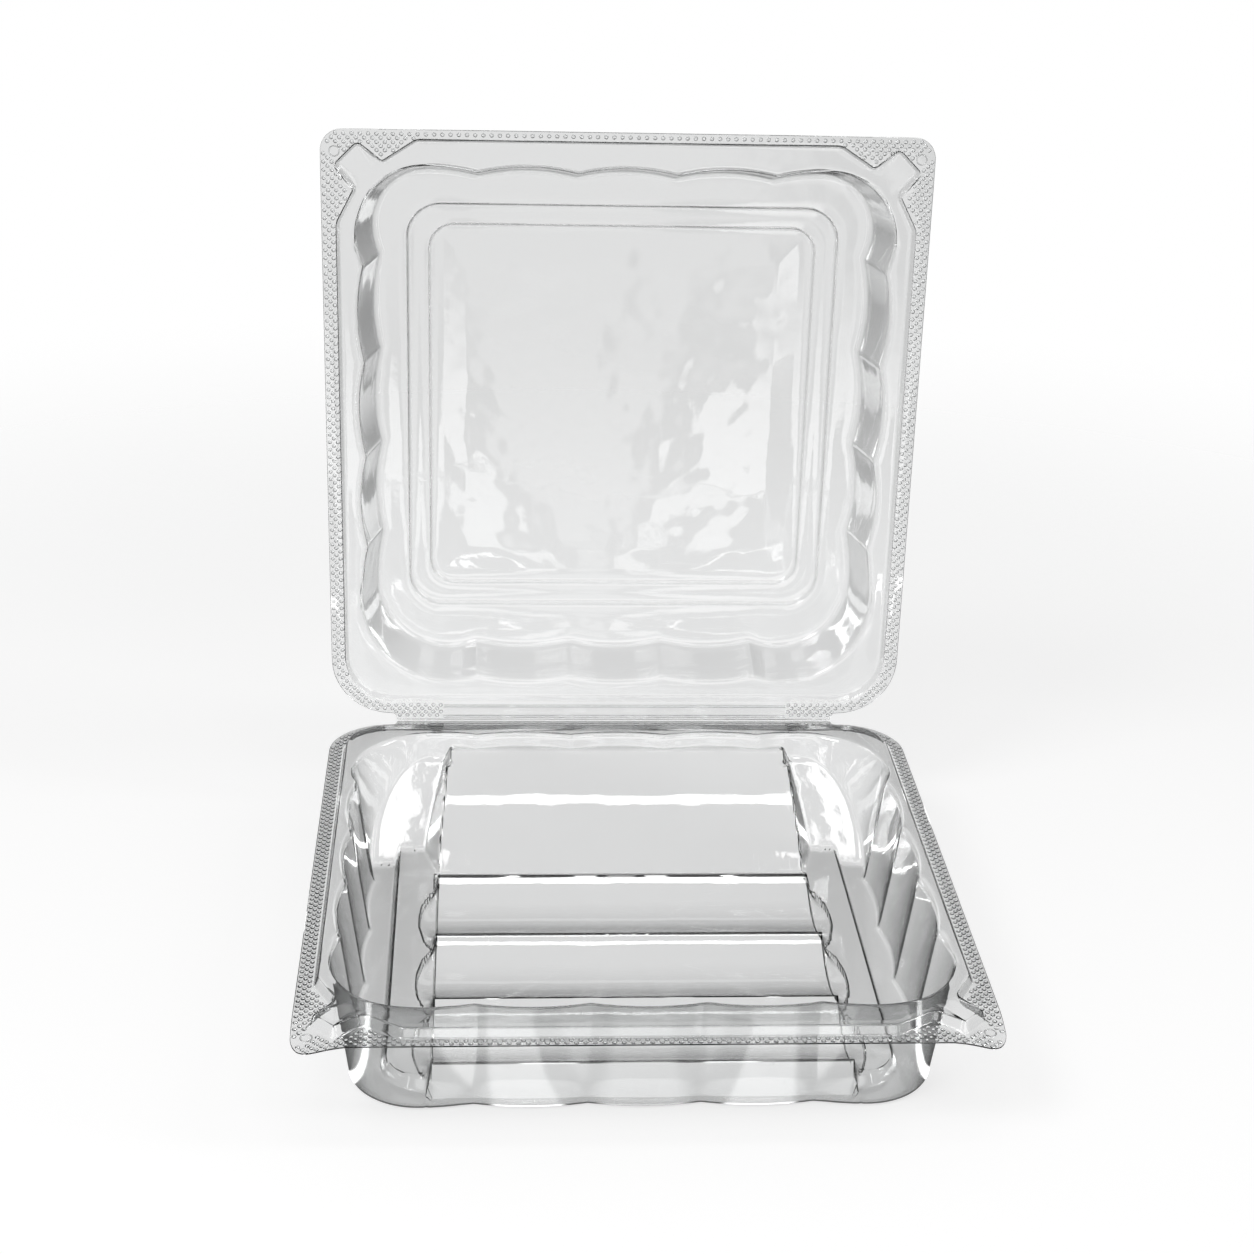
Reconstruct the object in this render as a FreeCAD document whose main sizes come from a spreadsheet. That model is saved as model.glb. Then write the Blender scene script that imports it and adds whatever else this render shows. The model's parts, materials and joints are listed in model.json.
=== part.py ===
"""Clear hinged food pack, vacuum formed from one plastic sheet.

The pack stands open: the tray rests on its foot and the lid stands straight up from the
hinge at the back. X runs along the hinge, Y runs from the front to the back, Z is up.
The origin is on the surface it stands on, at the middle of the open pack's outline.

Both halves are drawn as they lie when the pack is closed, with the hinge line at y = 0 and
the top of the tray's flange at z = 0. The last step turns the lid up and moves both halves
to the origin.
"""

import FreeCAD, Part
import math
import os

from FreeCAD import Vector

SIZES = [
    # the sheet and the closed pack
    ("pack_width", 205.0),
    ("pack_reach", 214.4),
    ("sheet_wall", 0.5),
    ("closed_gap", 0.3),
    ("hinge_gap", 0.15),
    # the flat flange around both halves
    ("front_corner", 7.5),
    ("hinge_corner", 21.0),
    ("hinge_neck", 3.0),
    ("neck_fillet", 2.0),
    # the raised rim with its four corner lugs
    ("side_band", 5.0),
    ("front_band", 3.6),
    ("rim_rise", 3.0),
    ("rim_corner", 17.0),
    ("lug_tip_far", 12.0),
    ("lug_tip_near", 4.6),
    ("lug_neck_far", 20.0),
    ("lug_neck_near", 11.0),
    ("lug_start", 31.5),
    ("lug_fillet", 1.6),
    ("lug_start_radius", 4.8),
    ("nest_gap", 0.4),
    # the flutes in both walls
    ("flute_bulge", 2.1),
    ("end_turn", 2.4),
    # the tray
    ("tray_depth", 36.0),
    ("tray_side_rim", 9.3),
    ("tray_front_rim", 16.6),
    ("tray_rear_rim", 17.0),
    ("tray_draft", 5.0),
    ("tray_front_radius", 26.0),
    ("tray_rear_radius", 30.0),
    ("tray_front_lead", 16.5),
    ("tray_rear_lead", 12.5),
    ("tray_side_front_lead", 15.0),
    ("tray_side_rear_lead", 8.3),
    # the floor of the tray
    ("floor_rise", 4.5),
    ("floor_margin", 10.8),
    ("floor_corner", 13.0),
    ("crest_rise", 11.0),
    ("crest_margin", 13.7),
    ("crest_lip", 1.6),
    ("crest_land", 0.8),
    ("first_crest", 70.0),
    ("trough_pitch", 39.1),
    ("trough_dip", 7.5),
    ("trough_bulge", 5.0),
    ("ramp_top_drop", 1.5),
    ("ramp_top_reach", 20.0),
    ("ramp_foot_reach", 58.0),
    ("ramp_bow", 4.0),
    ("crest_hollow", 2.0),
    ("pocket_drop", 7.0),
    ("pocket_slope", 1.2),
    ("slope_thickness", 1.25),
    # the lid
    ("lid_wall_height", 22.0),
    ("lid_side_rim", 10.8),
    ("lid_front_rim", 12.4),
    ("lid_rear_rim", 14.4),
    ("lid_draft", 5.3),
    ("lid_front_radius", 24.2),
    ("lid_rear_radius", 31.0),
    ("lid_front_lead", 16.8),
    ("lid_rear_lead", 10.0),
    ("lid_side_front_lead", 10.5),
    ("lid_side_rear_lead", 20.5),
    ("step_side_margin", 11.4),
    ("step_front_margin", 12.4),
    ("step_rear_margin", 15.8),
    ("step_corner", 12.0),
    ("step_rise", 2.4),
    ("panel_margin", 7.5),
    ("panel_corner", 9.0),
    ("panel_rise", 2.0),
]

FLUTES = 3

doc = FreeCAD.newDocument("hinged_pack")
sheet = doc.addObject("Spreadsheet::Sheet", "Sizes")
for row, (alias, value) in enumerate(SIZES, start=1):
    sheet.set(f"A{row}", alias)
    sheet.set(f"B{row}", str(value))
    sheet.setAlias(f"B{row}", alias)
doc.recompute()


def size(alias):
    return float(getattr(sheet, alias))


def polar(centre, radius, angle):
    return Vector(centre.x + radius * math.cos(angle), centre.y + radius * math.sin(angle), centre.z)


def rounded_wire(corners, height):
    """Closed wire through corners (x, y, radius), with a tangent arc at each rounded corner."""
    count = len(corners)
    ends = []
    for i, (x, y, radius) in enumerate(corners):
        here = Vector(x, y, height)
        before = Vector(corners[i - 1][0], corners[i - 1][1], height) - here
        after = Vector(corners[(i + 1) % count][0], corners[(i + 1) % count][1], height) - here
        before.normalize()
        after.normalize()
        if radius <= 0:
            ends.append((here, None, here))
            continue
        half = before.getAngle(after) / 2
        reach = radius / math.tan(half)
        middle = before + after
        middle.normalize()
        crown = here + middle * (radius / math.sin(half) - radius)
        ends.append((here + before * reach, crown, here + after * reach))
    edges = []
    for i, (start, crown, end) in enumerate(ends):
        if crown is not None:
            edges.append(Part.Arc(start, crown, end).toShape())
        following = ends[(i + 1) % count][0]
        if end.distanceToPoint(following) > 1e-6:
            edges.append(Part.LineSegment(end, following).toShape())
    return Part.Wire(edges)


def mirrored(corners):
    """The corners of the right half, followed by their mirror image on the left."""
    return corners + [(-x, y, radius) for x, y, radius in reversed(corners)]


def flange_corners():
    half, reach = size("pack_width") / 2, size("pack_reach")
    hinge_end = half - size("hinge_corner") - size("neck_fillet")
    return mirrored([
        (hinge_end, -size("hinge_gap"), 0),
        (hinge_end, -size("hinge_neck"), size("neck_fillet")),
        (half, -size("hinge_neck"), size("hinge_corner")),
        (half, -reach, size("front_corner")),
    ])


def rim_wire(grow):
    """Outline of the raised rim, grown sideways: its front corners reach out in square lugs."""
    half, reach = size("pack_width") / 2, size("pack_reach")
    side, front = half - size("side_band"), reach - size("front_band")
    tip_near, tip_far = size("lug_tip_near"), size("lug_tip_far")
    neck_near, neck_far = size("lug_neck_near"), size("lug_neck_far")
    fillet, start = size("lug_fillet"), size("lug_start")
    wire = rounded_wire(mirrored([
        (side, -(size("hinge_neck") + size("side_band")), size("rim_corner")),
        (side, -(reach - start), size("lug_start_radius")),
        (half - neck_near, -(reach - neck_far), fillet),
        (half - tip_near, -(reach - tip_far), fillet),
        (half - tip_far, -(reach - tip_near), fillet),
        (half - neck_far, -(reach - neck_near), fillet),
        (half - start, -front, size("lug_start_radius")),
    ]), 0)
    return wire.makeOffset2D(grow) if grow else wire


def fluted_wire(half, inset, height):
    """Outline of one half's wall: a rounded rectangle whose straight sides are fluted.

    Each side has whole flutes between two half flutes, which run smoothly into the corners.
    """
    side = size("pack_width") / 2 - size(half + "_side_rim") - inset
    front = size("pack_reach") - size(half + "_front_rim") - inset
    rear = size(half + "_rear_rim") + inset
    front_radius = size(half + "_front_radius") - inset
    rear_radius = size(half + "_rear_radius") - inset
    front_lead, rear_lead = size(half + "_front_lead"), size(half + "_rear_lead")
    side_leads = size(half + "_side_front_lead"), size(half + "_side_rear_lead")
    front_x, rear_x = side - front_radius, side - rear_radius
    front_y, rear_y = -(front - front_radius), -(rear + rear_radius)
    right_front, right_rear = Vector(side, front_y, height), Vector(side, rear_y, height)
    left_front, left_rear = Vector(-side, front_y, height), Vector(-side, rear_y, height)
    edges = [
        *flutes(right_front, right_rear, *side_leads, Vector(-1, 0, 0)),
        corner_arc(Vector(rear_x, rear_y, height), rear_radius, 0),
        *flutes(Vector(rear_x, -rear, height), Vector(-rear_x, -rear, height),
                rear_lead, rear_lead, Vector(0, -1, 0)),
        corner_arc(Vector(-rear_x, rear_y, height), rear_radius, math.pi / 2),
        *flutes(left_rear, left_front, *reversed(side_leads), Vector(1, 0, 0)),
        corner_arc(Vector(-front_x, front_y, height), front_radius, math.pi),
        *flutes(Vector(-front_x, -front, height), Vector(front_x, -front, height),
                front_lead, front_lead, Vector(0, 1, 0)),
        corner_arc(Vector(front_x, front_y, height), front_radius, 3 * math.pi / 2),
    ]
    return Part.Wire(edges)


def flutes(start, end, lead_in, lead_out, inward):
    """Arcs along one side, from the end of one corner to the start of the next."""
    bulge = size("flute_bulge")
    along = (end - start).normalize()
    pitch = ((end - start).Length - lead_in - lead_out) / FLUTES
    cusps = [start + along * (lead_in + k * pitch) + inward * bulge for k in range(FLUTES + 1)]
    edges = [tangent_arc(start, cusps[0], inward)]
    for one, two in zip(cusps, cusps[1:]):
        edges.append(Part.Arc(one, (one + two) * 0.5 - inward * bulge, two).toShape())
    edges.append(tangent_arc(end, cusps[-1], inward, reverse=True))
    return edges


def corner_arc(centre, radius, first_angle):
    points = [polar(centre, radius, first_angle + math.pi / 4 * k) for k in range(3)]
    return Part.Arc(*points).toShape()


def tangent_arc(edge_point, cusp, inward, reverse=False):
    """Half flute that leaves a side in line with it and ends in a cusp."""
    chord = cusp - edge_point
    bulge = chord.dot(inward)
    radius = chord.dot(chord) / (2 * bulge)
    centre = edge_point + inward * radius
    middle = (edge_point + cusp) * 0.5 - centre
    middle.normalize()
    middle = centre + middle * radius
    ends = (cusp, middle, edge_point) if reverse else (edge_point, middle, cusp)
    return Part.Arc(*ends).toShape()


def profile(name, wire):
    feature = doc.addObject("Part::Feature", name)
    feature.Shape = wire
    return feature


def prism(name, wire, top, bottom):
    """Straight solid over a flat wire that lies at its bottom, with heights given as formulas."""
    extrusion = doc.addObject("Part::Extrusion", name)
    extrusion.Base = profile(name + "_outline", wire)
    extrusion.DirMode = "Custom"
    extrusion.Dir = Vector(0, 0, 1)
    extrusion.Solid = True
    extrusion.setExpression("LengthFwd", f"({top}) - ({bottom})")
    extrusion.setExpression("Placement.Base.z", bottom)
    return extrusion


def crossways(name, wire, half_length):
    """Solid with its section in the YZ plane, equally long on both sides of the middle."""
    extrusion = doc.addObject("Part::Extrusion", name)
    extrusion.Base = profile(name + "_section", wire)
    extrusion.DirMode = "Custom"
    extrusion.Dir = Vector(1, 0, 0)
    extrusion.Solid = True
    extrusion.LengthFwd = half_length
    extrusion.LengthRev = half_length
    return extrusion


def loft(name, wires):
    solid = doc.addObject("Part::Loft", name)
    solid.Sections = [profile(f"{name}_section_{i}", wire) for i, wire in enumerate(wires)]
    solid.Solid = True
    solid.Ruled = True
    return solid


def fused(name, *pieces):
    result = doc.addObject("Part::MultiFuse", name)
    result.Shapes = list(pieces)
    return result


def common(name, *pieces):
    result = doc.addObject("Part::MultiCommon", name)
    result.Shapes = list(pieces)
    return result


def cut(name, base, tool):
    result = doc.addObject("Part::Cut", name)
    result.Base = base
    result.Tool = tool
    return result


def wall_form(name, half, grow, rim, end):
    """Solid inside one half's fluted wall, grown sideways by grow, from the rim to the far end.

    The wall leans in by its draft, and its last stretch turns in to the flat end.
    """
    draft, turn = size(half + "_draft"), size("end_turn")
    before_end = end - math.copysign(turn, end - rim)
    tiers = ((0, rim), (draft, before_end), (draft + turn, end))
    wires = [fluted_wire(half, inset - grow, height) for inset, height in tiers]
    return loft(name, wires)


def flange_and_rim(name, base, grow):
    """Flange with the raised rim on it, as a hat of sheet thickness that is still closed on top."""
    plate = prism(name + "_flange", rounded_wire(flange_corners(), 0),
                  f"{base}", f"{base} - Sizes.sheet_wall")
    block = prism(name + "_rim", rim_wire(grow),
                  f"{base} + Sizes.rim_rise", f"{base} - Sizes.sheet_wall")
    hollow = prism(name + "_rim_hollow", rim_wire(grow - size("sheet_wall")),
                   f"{base} + Sizes.rim_rise - Sizes.sheet_wall", f"{base} - 2 * Sizes.sheet_wall")
    return cut(name + "_hat", fused(name + "_solid_hat", plate, block), hollow)


def floor_side():
    """Half the width of the raised floor."""
    return size("pack_width") / 2 - size("tray_side_rim") - size("tray_draft") - size("floor_margin")


def floor_front():
    """Distance from the hinge line to the front edge of the raised floor."""
    return size("pack_reach") - size("tray_front_rim") - size("tray_draft") - size("floor_margin")


def crest_lines():
    """Distances from the hinge line to the crests, from the rear one to the front one.

    The crests are a trough's pitch apart, and the front trough takes what is left.
    """
    first, last = size("first_crest"), floor_front() + size("crest_lip")
    troughs = max(1, round((last - first) / size("trough_pitch")))
    return [first + k * size("trough_pitch") for k in range(troughs)] + [last]


def bowed_arc(start, end, bow):
    """Arc in the YZ plane from start to end, whose middle lies bow to the left of the chord."""
    chord = end - start
    side = Vector(0, -chord.z, chord.y).normalize()
    return Part.Arc(start, (start + end) * 0.5 + side * bow, end).toShape()


def line(start, end):
    return Part.LineSegment(start, end).toShape()


def trough_cutter(name, start, end, grow):
    """One trough of the floor: a shallow cylinder across the tray with outward curved ends."""
    land = size("crest_land") / 2
    near, far = -(start + land), -(end - land)
    middle = (near + far) / 2
    crest_end = floor_side() - size("crest_margin")
    half, edge = crest_end - grow, crest_end + size("trough_bulge") + grow
    plan = Part.Wire([
        line(Vector(-half, near, 0), Vector(half, near, 0)),
        Part.Arc(Vector(half, near, 0), Vector(edge, middle, 0), Vector(half, far, 0)).toShape(),
        line(Vector(half, far, 0), Vector(-half, far, 0)),
        Part.Arc(Vector(-half, far, 0), Vector(-edge, middle, 0), Vector(-half, near, 0)).toShape(),
    ])
    block = prism(name + "_plan", plan, "0", "-Sizes.tray_depth")
    chord, dip = (near - far) / 2, size("trough_dip")
    radius = (chord ** 2 + dip ** 2) / (2 * dip)
    crest = size("crest_rise") - size("tray_depth") - slope_drop(grow)
    hollow = doc.addObject("Part::Cylinder", name + "_hollow")
    hollow.Radius = radius
    hollow.Height = 4 * edge
    centre = Vector(-2 * edge, middle, crest - dip + radius)
    hollow.Placement = FreeCAD.Placement(centre, FreeCAD.Rotation(Vector(0, 1, 0), 90))
    return common(name, block, hollow)


def slope_drop(grow):
    """Drop of a sloping underside that keeps the sheet about as thick as a level one."""
    return size("slope_thickness") * grow


def floor_form(name, grow):
    """What stands up from the foot of the tray: raised floor, crests, rear ramp and pockets.

    All of it starts well below the foot, and the wall's own solid cuts it to size.
    """
    depth = size("tray_depth")
    below = -1.5 * depth
    side, front, radius = floor_side() - grow, floor_front() - grow, size("floor_corner") - grow
    ramp_start = size("ramp_top_reach")
    outline = rounded_wire(mirrored([(side, -ramp_start, 0), (side, -front, radius)]), 0)
    raised = prism(name + "_raised", outline, f"Sizes.floor_rise - Sizes.tray_depth - {grow}",
                   "-1.5 * Sizes.tray_depth")

    crest = size("crest_rise") - depth - slope_drop(grow)
    floor = size("floor_rise") - depth - slope_drop(grow)
    crests = crest_lines()
    ramp_top = Vector(0, -ramp_start, -size("ramp_top_drop") - slope_drop(grow))
    ramp_foot = Vector(0, -size("ramp_foot_reach"), floor)
    rear_crest, front_crest = Vector(0, -crests[0], crest), Vector(0, -crests[-1] + grow, crest)
    front_foot, rear_foot = Vector(0, front_crest.y, below), Vector(0, 0, below)
    rear_top = Vector(0, 0, ramp_top.z)
    section = Part.Wire([
        bowed_arc(ramp_top, ramp_foot, -size("ramp_bow")),
        bowed_arc(ramp_foot, rear_crest, size("crest_hollow")),
        line(rear_crest, front_crest),
        line(front_crest, front_foot),
        line(front_foot, rear_foot),
        line(rear_foot, rear_top),
        line(rear_top, ramp_top),
    ])
    centre = crossways(name + "_centre", section, floor_side() - size("crest_margin") - grow)

    slope = size("pocket_slope")
    top = Vector(0, 0, slope * ramp_start - size("pocket_drop") - grow * math.hypot(1, slope))
    foot = Vector(0, (below - top.z) / slope, below)
    pocket_section = Part.Wire([line(top, foot), line(foot, rear_foot), line(rear_foot, top)])
    pockets = crossways(name + "_pockets", pocket_section, size("pack_width") / 2)

    troughs = [trough_cutter(f"{name}_trough_{k + 1}", crests[k], crests[k + 1], grow)
               for k in range(len(crests) - 1)]
    solid = fused(name + "_solid", raised, centre, pockets)
    return cut(name, solid, fused(name + "_troughs", *troughs) if len(troughs) > 1 else troughs[0])


def make_tray():
    wall = size("sheet_wall")
    depth, rise = size("tray_depth"), size("rim_rise")
    hat = flange_and_rim("tray", "0", 0)
    outside = cut("tray_outside", wall_form("tray_outer_wall", "tray", wall, rise, -depth),
                  floor_form("tray_underside", wall))
    inside = cut("tray_inside", wall_form("tray_inner_wall", "tray", 0, rise, -depth + wall),
                 floor_form("tray_floor", 0))
    return cut("base_tray", fused("tray_filled", hat, outside), inside)


def make_lid():
    """The lid, drawn closed: its rim nests over the rim of the tray."""
    wall, rise, gap = size("sheet_wall"), size("rim_rise"), size("closed_gap")
    under = gap + rise
    top = under + size("lid_wall_height")
    hat = flange_and_rim("lid", "Sizes.closed_gap + Sizes.sheet_wall", size("nest_gap") + wall)
    outer = wall_form("lid_outer_wall", "lid", wall, under, top)
    inner = wall_form("lid_inner_wall", "lid", 0, under, top - wall)
    outer_step, inner_step = panel_steps("lid_outside", wall), panel_steps("lid_inside", 0)
    filled = fused("lid_filled", hat, outer, *outer_step)
    return cut("lid", filled, fused("lid_hollow", inner, *inner_step))


def panel_steps(name, grow):
    """The two low steps of the lid's top, as prisms that start inside the wall's solid."""
    side = size("pack_width") / 2 - size("lid_side_rim") - size("lid_draft") - size("step_side_margin")
    front = size("pack_reach") - size("lid_front_rim") - size("lid_draft") - size("step_front_margin")
    rear = size("lid_rear_rim") + size("lid_draft") + size("step_rear_margin")
    level = "Sizes.closed_gap + Sizes.rim_rise + Sizes.lid_wall_height"
    skin = "0" if grow else "Sizes.sheet_wall"
    steps = []
    for label, inset, corner, rise in (
            ("_step", 0, "step_corner", "Sizes.step_rise"),
            ("_panel", size("panel_margin"), "panel_corner", "Sizes.step_rise + Sizes.panel_rise")):
        radius = size(corner) + grow
        outline = rounded_wire(mirrored([
            (side - inset + grow, -rear - inset + grow, radius),
            (side - inset + grow, -front + inset - grow, radius),
        ]), 0)
        steps.append(prism(name + label, outline, f"{level} + {rise} - {skin}",
                           f"{level} - 2 * Sizes.sheet_wall"))
    return steps


tray = make_tray()
lid = make_lid()
doc.recompute()

hinge_height = size("closed_gap") / 2
lid_back = (size("closed_gap") + size("rim_rise") + size("lid_wall_height") + size("step_rise")
            + size("panel_rise") - hinge_height)
hinge_y = (size("pack_reach") - lid_back) / 2
to_origin = FreeCAD.Placement(Vector(0, hinge_y, size("tray_depth")), FreeCAD.Rotation())
open_lid = FreeCAD.Placement(Vector(0, 0, 0), FreeCAD.Rotation(Vector(1, 0, 0), -90), Vector(0, 0, hinge_height))

tray.Placement = to_origin
lid.Placement = to_origin.multiply(open_lid)
doc.recompute()

for item in doc.Objects:
    if "Invalid" in item.State or "Error" in item.State:
        raise RuntimeError(f"{item.Name} did not build: {item.State}")

os.makedirs("parts", exist_ok=True)
for piece, label in ((tray, "base_tray"), (lid, "lid")):
    piece.Label = label
    shape = piece.Shape
    if shape.isNull() or not shape.isValid() or len(shape.Solids) != 1:
        raise RuntimeError(f"{label} is not one valid solid: {len(shape.Solids)} solids")
    shape.exportStep(f"parts/{label}.step")
    box = shape.BoundBox
    print(label, "volume", round(shape.Volume, 1), "box", [round(v, 2) for v in (
        box.XMin, box.XMax, box.YMin, box.YMax, box.ZMin, box.ZMax)])
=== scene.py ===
import json
import math

import bmesh
import bpy
import numpy as np
from mathutils import Matrix, Vector, noise


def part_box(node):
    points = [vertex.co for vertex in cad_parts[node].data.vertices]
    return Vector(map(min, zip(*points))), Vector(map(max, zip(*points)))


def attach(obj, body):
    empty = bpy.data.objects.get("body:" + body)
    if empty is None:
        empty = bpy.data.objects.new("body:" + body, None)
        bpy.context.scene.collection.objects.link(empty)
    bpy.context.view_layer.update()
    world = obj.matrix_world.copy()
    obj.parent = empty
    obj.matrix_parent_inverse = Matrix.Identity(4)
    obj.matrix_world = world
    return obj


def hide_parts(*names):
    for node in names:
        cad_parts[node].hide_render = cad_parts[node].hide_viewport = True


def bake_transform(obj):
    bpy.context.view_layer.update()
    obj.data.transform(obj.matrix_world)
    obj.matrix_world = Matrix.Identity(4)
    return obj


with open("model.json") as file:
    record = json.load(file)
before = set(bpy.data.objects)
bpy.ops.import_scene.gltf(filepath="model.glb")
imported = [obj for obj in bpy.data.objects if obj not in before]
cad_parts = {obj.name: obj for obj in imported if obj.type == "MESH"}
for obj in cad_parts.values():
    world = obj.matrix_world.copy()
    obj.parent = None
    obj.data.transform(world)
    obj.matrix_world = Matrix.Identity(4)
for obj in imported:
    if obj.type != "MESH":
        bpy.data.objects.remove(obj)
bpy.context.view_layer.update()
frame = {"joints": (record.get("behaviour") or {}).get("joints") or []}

# Lengths below are in millimetres, like the drawing of the pack. A point of either half is
# written (x, v, z): x along the hinge, v the distance in front of the hinge line, and z the
# height over the top of the tray's flange, as if the pack were closed.
MM = 0.001
hinge = frame["joints"][0]
HINGE_Y = hinge["pos_m"][1] / MM
CLOSED_GAP = 0.3
HINGE_Z = CLOSED_GAP / 2
tray_low, tray_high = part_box("base_tray")
TRAY_DEPTH = hinge["pos_m"][2] / MM - HINGE_Z
EDGE_TRIM, CUT_EDGE = 0.27, 0.2
HALF_WIDTH = tray_high[0] / MM - EDGE_TRIM
REACH = HINGE_Y - tray_low[1] / MM - EDGE_TRIM

SHEET, SHARP_ANGLE = 0.42, 35

# how points are spread: lengths and weights along an outline, and steps from the corners
HALF_COUNT, TINY = 280, 1e-6
LINE_PITCH, SMALL_ARC, SMALL_ARC_WEIGHT, ARC_WEIGHT = 0.25, 6, 2.5, 1.2
CORNER_STEPS, LUG_TIP_STEPS, LUG_NECK_STEPS, LUG_FOOT_STEPS = 13, 5, 11, 19
EDGE_CORNER_STEPS, HINGE_CORNER_STEPS, HINGE_END_STEPS = 8, 15, 19
ACROSS_ANCHOR, SIDE_ANCHORS, CORNER_CUT = 50, (160, 60), 1 - math.sqrt(0.5)
GATE_SHARE, GATE_CROWDING, SHARED_ROOM, OWN_ROOM = 0.2, 1.5, 0.46, 0.92
FRONT_CUSPS, PANEL_EDGE = (16.9, 50.7), 5.0

# the flat flange and the raised rim
FRONT_CORNER, HINGE_CORNER = 7.5, 21.0
HINGE_NECK, NECK_FILLET, HINGE_EDGE = 3.0, 2.0, 0.45
SIDE_BAND, FRONT_BAND, RIM_RISE, RIM_DRAFT, RIM_CORNER = 5.0, 3.6, 3.0, 1.1, 17.0
LUG_TIP_FAR, LUG_TIP_NEAR, LUG_NECK_FAR, LUG_NECK_NEAR, LUG_START = 12.0, 4.6, 20.0, 11.0, 31.5
LUG_FILLET, LUG_START_RADIUS = 1.6, 4.8
NEST_GAP, DROOP, DROOP_REACH, DROOP_CURVE = 0.4, 4.2, 17.0, 1.6

# the knurl, spots, beads and buttons of the flange, and the strip of the hinge
KNURL_PITCH, BOSS_RADIUS, BOSS_HEIGHT, KNURL_MARGIN, KNURL_FRONT = 2.7013, 0.76, 0.50, 0.75, 1.4
KNURL_COLUMNS, KNURL_ROWS, KNURL_PAD_END, KNURL_PAD_REACH = 77, 81, 63.5, 20
SPOT_PLACE, SPOT_RADIUS, SPOT_RING, SPOT_CLEAR = (4.5, 7.3), 1.7, 0.2, 2.3
TRAY_BEADS, LID_BEADS, BEAD_RADIUS, BEAD_SINK, BEAD_END = (1.5, 6.6), (1.5, 5.6), 0.5, 0.08, 62.5
BUTTON_PLACE, BUTTON_SIZE = (65.0, 3.4, 0.75), (5.4, 3.6, 1.9)
BUTTON_NARROW, BUTTON_BEVEL = 0.72, 0.45
STRIP_RADIUS, STRIP_SHEET, STRIP_TURN, STRIP_GAP = 0.34, SHEET * 0.8, (218, 412), 0.1

# the fluted walls
FLUTE_BULGE, CUSP_ROUNDING = 2.1, 0.5
TRAY_WALL = {
    "side": HALF_WIDTH - 9.3, "front": REACH - 16.6, "rear": 17.0, "draft": 5.3,
    "front_radius": 26.0, "rear_radius": 30.0, "front_lead": 16.5, "rear_lead": 12.5,
    "side_front_lead": 15.0, "side_rear_lead": 8.3,
}
LID_WALL = {
    "side": HALF_WIDTH - 10.8, "front": REACH - 12.4, "rear": 14.4, "draft": 5.3,
    "front_radius": 24.2, "rear_radius": 31.0, "front_lead": 16.8, "rear_lead": 10.0,
    "side_front_lead": 10.5, "side_rear_lead": 20.5,
}
ROLL_RADIUS, FOOT_RADIUS, BEND_RADIUS = 2.2, 2.6, 0.8

# the floor of the tray
FLOOR_SIDE, FLOOR_FRONT, FLOOR_CORNER, FLOOR_RISE, RISER_RUN = 77.4, 182.0, 13.0, 4.5, 1.6
CREST_RISE, CREST_END, TROUGH_DIP, TROUGH_BULGE, CREST_LIP = 11.0, 63.3, 7.5, 4.4, 1.6
FIRST_CREST, TROUGH_PITCH, END_STEP, END_CREASE = 70.0, 39.1, 1.3, 0.9
RAMP_TOP_DROP, RAMP_TOP_REACH, RAMP_FOOT_REACH, RAMP_BOW = 1.5, 20.0, 58.0, 3.4
RAMP_TOP_SIDE, RAMP_FOOT_SIDE, RAMP_SIDE_SLOPE = 60.0, 63.6, 2.6
POCKET_DROP, POCKET_SLOPE, POCKET_TOP = 7.0, 1.2, -4.5
RISER_BEND, RIDGE_BEND, RAMP_BEND, RAMP_SHOULDER, POCKET_BEND = 1.2, 0.35, 0.8, 1.0, 3.0
TROUGH_EDGE, CLIMB_SAG, FRONT_FACE_SLOPE, CREST_FLAT, CREST_DULL = 1.2, 0.55, 3.2, 1.3, 0.25
RIDGE_END_RUN, CREASE_RUN, RIDGE_TUCK, RAMP_LIP, RAMP_LIP_SLOPE = 1.3, 0.5, 1.6, 0.1, 0.15
BURIED, FLOOR_EASE, RING_OUT, RING_RUN, RING_REAR, RING_PULL = 30.0, 1.2, 2.4, 3.4, 19.9, 4.4
RINGS = (2.4, 1.9, 1.55, 1.2, 0.8, 0.4, 0.1, -0.3, -1.0)

# the lid's top
LID_WALL_HEIGHT = 21.5
STEP_SIDE, STEP_FRONT, STEP_REAR, STEP_CORNER, STEP_RISE = 75.0, 184.3, 35.5, 12.0, 2.4
PANEL_MARGIN, PANEL_CORNER, PANEL_RISE, PANEL_DRAFT, STEP_BEND = 7.5, 9.0, 2.0, 0.7, 1.1
PANEL_SAG, PANEL_FADE, RIPPLES = 0.45, 8, ((0.42, 21, 3.1), (0.10, 6, 7.7))

# the photograph's camera: place in pack widths, turn in degrees, and its picture in pixels
PACK_WIDTH, CAMERA_PLACE = 205.0, (-0.23503, -3.78351, 1.77914)
YAW, PITCH, ROLL = (math.radians(turn) for turn in (3.808, 22.841, 1.6606))
PHOTO_PIXELS, FOCAL_PIXELS, FILM_WIDTH = 1254, 2344.1, 36.0


def mix(one, two, share):
    """The first value where share is 0, the second where it is 1."""
    return one * (1 - share) + two * share


def unit(vectors):
    return vectors / np.linalg.norm(vectors, axis=1)[:, None]


def unit_arc(angles):
    return np.stack([np.cos(angles), np.sin(angles)], 1)


def points_line(start, end):
    count = max(2, int(math.dist(start, end) / LINE_PITCH))
    return mix(np.array(start), np.array(end), np.linspace(0, 1, count + 1)[:, None])


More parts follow.
